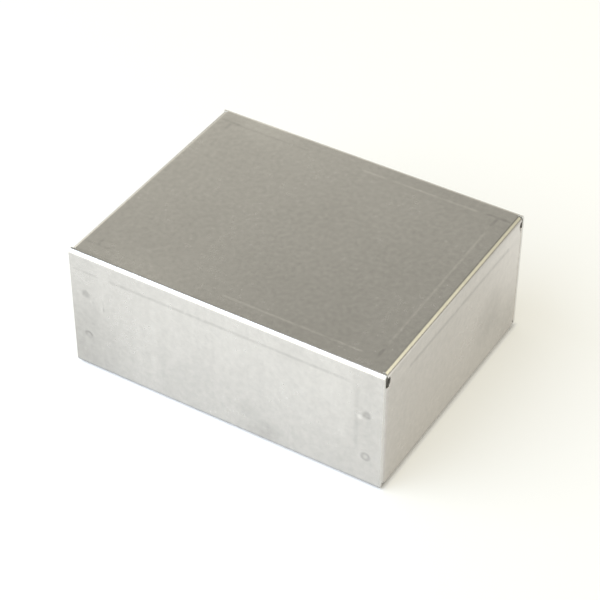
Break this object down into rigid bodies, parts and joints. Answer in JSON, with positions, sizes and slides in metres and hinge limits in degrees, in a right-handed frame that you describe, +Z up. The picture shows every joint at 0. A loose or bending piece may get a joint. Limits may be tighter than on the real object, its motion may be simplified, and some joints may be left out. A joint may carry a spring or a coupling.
{
  "type": "aluminium electronics chassis",
  "caption": "Shallow rectangular chassis folded from one sheet of plain aluminium, with an open bottom edged by inward lips and spot-welded corners, for building electronics on.",
  "frame": {"origin": "centre of the underside of the lips, on the surface that the chassis stands on", "axes": "+X along the long side walls, +Y from the front side wall to the back one, +Z up out of the top panel"},
  "size_m": [0.127, 0.1016, 0.0518],
  "materials": {
    "aluminium": "mill finish, dull satin, with fold die lines and weld prints"
  },
  "bodies": {
    "root": {"chassis": "aluminium"}
  },
  "joints": []
}
